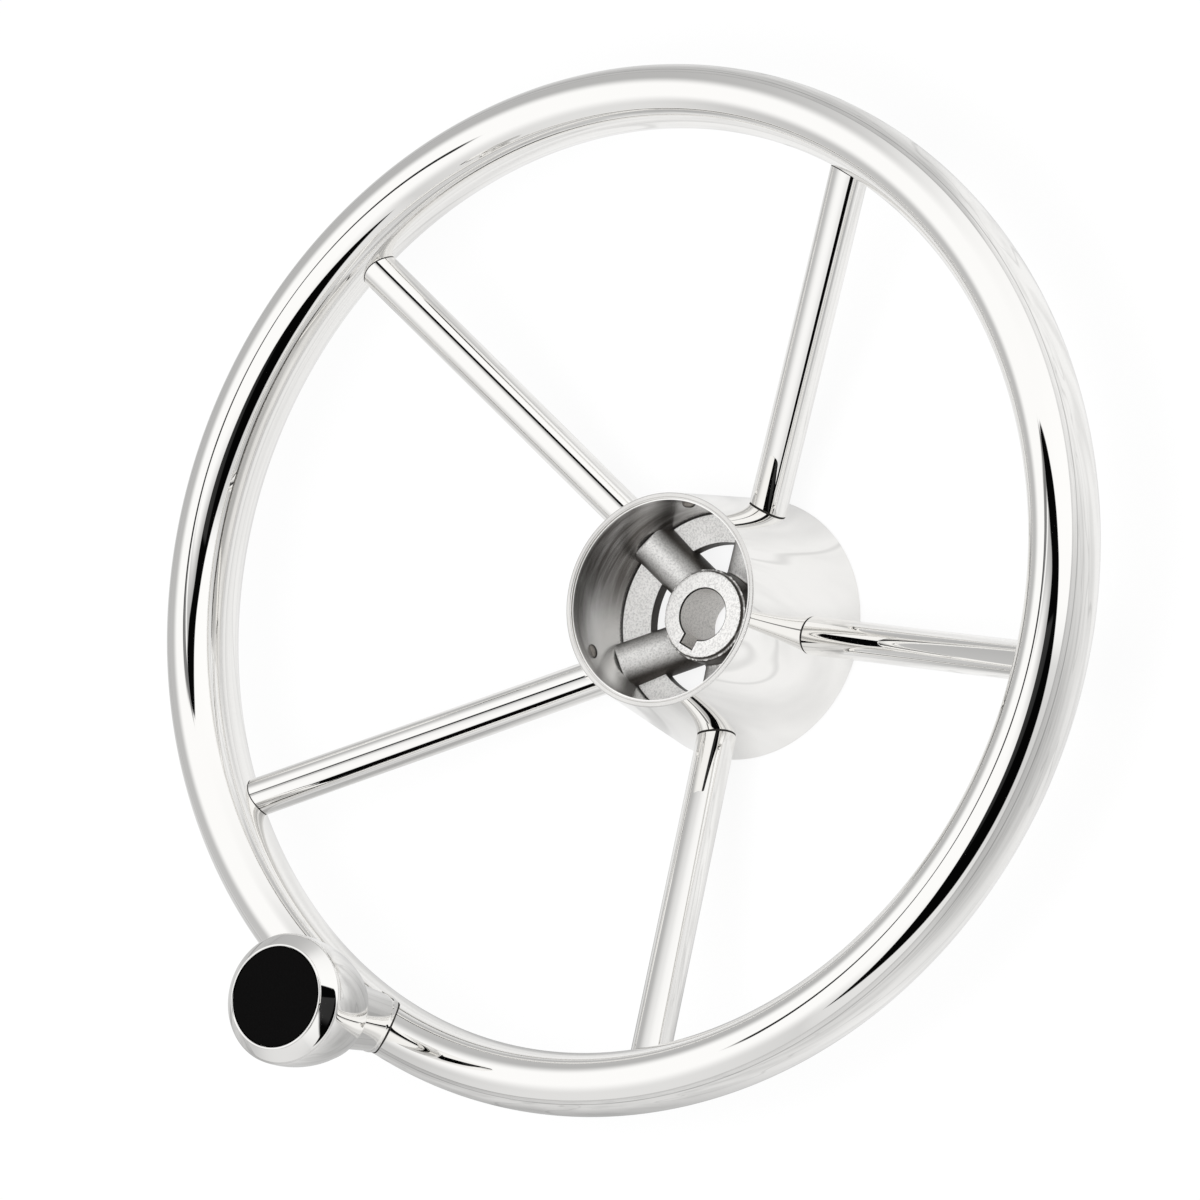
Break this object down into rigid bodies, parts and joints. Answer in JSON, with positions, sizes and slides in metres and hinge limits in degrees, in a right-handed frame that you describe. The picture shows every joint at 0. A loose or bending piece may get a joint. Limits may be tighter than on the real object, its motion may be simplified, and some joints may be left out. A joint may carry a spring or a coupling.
{
  "type": "stainless boat steering wheel",
  "caption": "Dished stainless steering wheel with tube spokes, an oval hollow rim, a cast hub cup with a tapered keyed bore, and a spinner knob on a rim post.",
  "frame": {"origin": "on the shaft axis, in the plane of the hub's flat back rim", "axes": "+Z along the shaft axis towards the driver; the knob lies towards -X and the first spoke towards +X"},
  "size_m": [0.354, 0.343, 0.1473],
  "materials": {
    "polished_stainless": "mirror polished stainless tube and bar",
    "cast_stainless": "investment cast stainless, polished outside and on the lip, as cast inside",
    "plain_stainless": "plain turned stainless",
    "black_cap": "moulded black plastic with a fine matt grain",
    "bush_plastic": "black acetal"
  },
  "bodies": {
    "wheel": {"rim": "polished_stainless", "spoke_1": "polished_stainless", "spoke_2": "polished_stainless", "spoke_3": "polished_stainless", "spoke_4": "polished_stainless", "spoke_5": "polished_stainless", "hub": "cast_stainless", "knob_post": "polished_stainless", "knob_bolt": "plain_stainless", "head_washer": "plain_stainless"},
    "knob": {"knob_shell": "polished_stainless", "knob_cap": "black_cap", "rear_bush": "bush_plastic", "front_bush": "bush_plastic"}
  },
  "joints": [
    {"name": "knob_spin", "type": "hinge", "parent": "wheel", "child": "knob", "pos_m": [-0.1614, 0, 0.1325], "axis": [0, 0, 1], "continuous": true}
  ]
}
